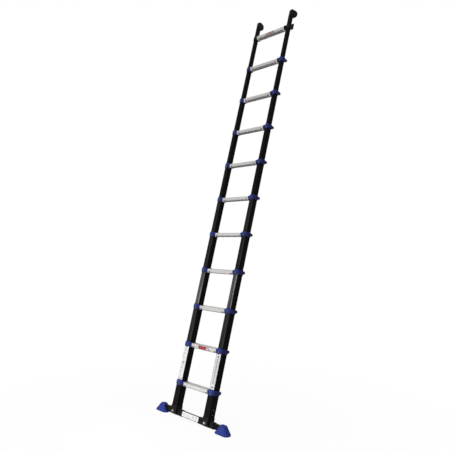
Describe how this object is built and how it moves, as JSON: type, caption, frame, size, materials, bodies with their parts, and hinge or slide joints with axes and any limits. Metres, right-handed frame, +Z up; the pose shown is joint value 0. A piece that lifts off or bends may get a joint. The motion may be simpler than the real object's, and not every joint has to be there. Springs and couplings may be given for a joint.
{
  "type": "telescopic ladder",
  "caption": "Extended telescopic ladder with black stiles, bare aluminium rungs, blue collars, red lock sliders, a stabiliser bar on flared feet and top hooks.",
  "frame": {"origin": "on the floor, midway between the two feet, where the plane of the stile axes meets the floor", "axes": "+X along the rungs, to the climber's right; +Y level, towards the wall that the ladder leans on; +Z up"},
  "size_m": [0.832, 0.971, 3.1812],
  "materials": {
    "black_stile": "satin black anodised",
    "bare_rung": "brushed, fine ribs",
    "blue_collar": "fine moulded grain",
    "black_plastic": "fine moulded grain",
    "red_lock": "moulded",
    "blue_rubber": "matt, ribbed sole",
    "black_rubber": "matt",
    "pale_bolt": "zinc plated"
  },
  "bodies": {
    "base_section": {"stile_tubes_01": "black_stile", "collars_01": "blue_collar", "rung_01": "bare_rung", "stabiliser_bar": "black_stile", "base_shoe_left": "black_plastic", "base_shoe_right": "black_plastic", "foot_left": "blue_rubber", "foot_right": "blue_rubber", "base_bolts": "pale_bolt"},
    "section_02": {"stile_tubes_02": "black_stile", "collars_02": "blue_collar", "rung_02": "bare_rung"},
    "section_03": {"stile_tubes_03": "black_stile", "collars_03": "blue_collar", "rung_03": "bare_rung"},
    "section_04": {"stile_tubes_04": "black_stile", "collars_04": "blue_collar", "rung_04": "bare_rung"},
    "section_05": {"stile_tubes_05": "black_stile", "collars_05": "blue_collar", "rung_05": "bare_rung"},
    "section_06": {"stile_tubes_06": "black_stile", "collars_06": "blue_collar", "rung_06": "bare_rung"},
    "section_07": {"stile_tubes_07": "black_stile", "collars_07": "blue_collar", "rung_07": "bare_rung"},
    "section_08": {"stile_tubes_08": "black_stile", "collars_08": "blue_collar", "rung_08": "bare_rung"},
    "section_09": {"stile_tubes_09": "black_stile", "collars_09": "blue_collar", "rung_09": "bare_rung"},
    "section_10": {"stile_tubes_10": "black_stile", "collars_10": "blue_collar", "rung_10": "bare_rung"},
    "section_11": {"stile_tubes_11": "black_stile", "collars_11": "black_plastic", "rung_11": "bare_rung", "top_hooks": "black_rubber"},
    "lock_left_01": {"lock_slider_left_01": "red_lock"},
    "lock_right_01": {"lock_slider_right_01": "red_lock"},
    "lock_left_02": {"lock_slider_left_02": "red_lock"},
    "lock_right_02": {"lock_slider_right_02": "red_lock"},
    "lock_left_03": {"lock_slider_left_03": "red_lock"},
    "lock_right_03": {"lock_slider_right_03": "red_lock"},
    "lock_left_04": {"lock_slider_left_04": "red_lock"},
    "lock_right_04": {"lock_slider_right_04": "red_lock"},
    "lock_left_05": {"lock_slider_left_05": "red_lock"},
    "lock_right_05": {"lock_slider_right_05": "red_lock"},
    "lock_left_06": {"lock_slider_left_06": "red_lock"},
    "lock_right_06": {"lock_slider_right_06": "red_lock"},
    "lock_left_07": {"lock_slider_left_07": "red_lock"},
    "lock_right_07": {"lock_slider_right_07": "red_lock"},
    "lock_left_08": {"lock_slider_left_08": "red_lock"},
    "lock_right_08": {"lock_slider_right_08": "red_lock"},
    "lock_left_09": {"lock_slider_left_09": "red_lock"},
    "lock_right_09": {"lock_slider_right_09": "red_lock"},
    "lock_left_10": {"lock_slider_left_10": "red_lock"},
    "lock_right_10": {"lock_slider_right_10": "red_lock"}
  },
  "joints": [
    {"name": "section_02_slide", "type": "slide", "parent": "base_section", "child": "section_02", "axis": [0, 0.2714, 0.9625], "range_m": [-0.147, 0]},
    {"name": "section_03_slide", "type": "slide", "parent": "section_02", "child": "section_03", "axis": [0, 0.2714, 0.9625], "range_m": [-0.242, 0]},
    {"name": "section_04_slide", "type": "slide", "parent": "section_03", "child": "section_04", "axis": [0, 0.2714, 0.9625], "range_m": [-0.242, 0]},
    {"name": "section_05_slide", "type": "slide", "parent": "section_04", "child": "section_05", "axis": [0, 0.2714, 0.9625], "range_m": [-0.242, 0]},
    {"name": "section_06_slide", "type": "slide", "parent": "section_05", "child": "section_06", "axis": [0, 0.2714, 0.9625], "range_m": [-0.242, 0]},
    {"name": "section_07_slide", "type": "slide", "parent": "section_06", "child": "section_07", "axis": [0, 0.2714, 0.9625], "range_m": [-0.242, 0]},
    {"name": "section_08_slide", "type": "slide", "parent": "section_07", "child": "section_08", "axis": [0, 0.2714, 0.9625], "range_m": [-0.242, 0]},
    {"name": "section_09_slide", "type": "slide", "parent": "section_08", "child": "section_09", "axis": [0, 0.2714, 0.9625], "range_m": [-0.242, 0]},
    {"name": "section_10_slide", "type": "slide", "parent": "section_09", "child": "section_10", "axis": [0, 0.2714, 0.9625], "range_m": [-0.242, 0]},
    {"name": "section_11_slide", "type": "slide", "parent": "section_10", "child": "section_11", "axis": [0, 0.2714, 0.9625], "range_m": [-0.242, 0]},
    {"name": "lock_left_01_slide", "type": "slide", "parent": "base_section", "child": "lock_left_01", "axis": [-1, 0, 0], "range_m": [0, 0.008]},
    {"name": "lock_right_01_slide", "type": "slide", "parent": "base_section", "child": "lock_right_01", "axis": [1, 0, 0], "range_m": [0, 0.008]},
    {"name": "lock_left_02_slide", "type": "slide", "parent": "section_02", "child": "lock_left_02", "axis": [-1, 0, 0], "range_m": [0, 0.008]},
    {"name": "lock_right_02_slide", "type": "slide", "parent": "section_02", "child": "lock_right_02", "axis": [1, 0, 0], "range_m": [0, 0.008]},
    {"name": "lock_left_03_slide", "type": "slide", "parent": "section_03", "child": "lock_left_03", "axis": [-1, 0, 0], "range_m": [0, 0.008]},
    {"name": "lock_right_03_slide", "type": "slide", "parent": "section_03", "child": "lock_right_03", "axis": [1, 0, 0], "range_m": [0, 0.008]},
    {"name": "lock_left_04_slide", "type": "slide", "parent": "section_04", "child": "lock_left_04", "axis": [-1, 0, 0], "range_m": [0, 0.008]},
    {"name": "lock_right_04_slide", "type": "slide", "parent": "section_04", "child": "lock_right_04", "axis": [1, 0, 0], "range_m": [0, 0.008]},
    {"name": "lock_left_05_slide", "type": "slide", "parent": "section_05", "child": "lock_left_05", "axis": [-1, 0, 0], "range_m": [0, 0.008]},
    {"name": "lock_right_05_slide", "type": "slide", "parent": "section_05", "child": "lock_right_05", "axis": [1, 0, 0], "range_m": [0, 0.008]},
    {"name": "lock_left_06_slide", "type": "slide", "parent": "section_06", "child": "lock_left_06", "axis": [-1, 0, 0], "range_m": [0, 0.008]},
    {"name": "lock_right_06_slide", "type": "slide", "parent": "section_06", "child": "lock_right_06", "axis": [1, 0, 0], "range_m": [0, 0.008]},
    {"name": "lock_left_07_slide", "type": "slide", "parent": "section_07", "child": "lock_left_07", "axis": [-1, 0, 0], "range_m": [0, 0.008]},
    {"name": "lock_right_07_slide", "type": "slide", "parent": "section_07", "child": "lock_right_07", "axis": [1, 0, 0], "range_m": [0, 0.008]},
    {"name": "lock_left_08_slide", "type": "slide", "parent": "section_08", "child": "lock_left_08", "axis": [-1, 0, 0], "range_m": [0, 0.008]},
    {"name": "lock_right_08_slide", "type": "slide", "parent": "section_08", "child": "lock_right_08", "axis": [1, 0, 0], "range_m": [0, 0.008]},
    {"name": "lock_left_09_slide", "type": "slide", "parent": "section_09", "child": "lock_left_09", "axis": [-1, 0, 0], "range_m": [0, 0.008]},
    {"name": "lock_right_09_slide", "type": "slide", "parent": "section_09", "child": "lock_right_09", "axis": [1, 0, 0], "range_m": [0, 0.008]},
    {"name": "lock_left_10_slide", "type": "slide", "parent": "section_10", "child": "lock_left_10", "axis": [-1, 0, 0], "range_m": [0, 0.008]},
    {"name": "lock_right_10_slide", "type": "slide", "parent": "section_10", "child": "lock_right_10", "axis": [1, 0, 0], "range_m": [0, 0.008]}
  ]
}
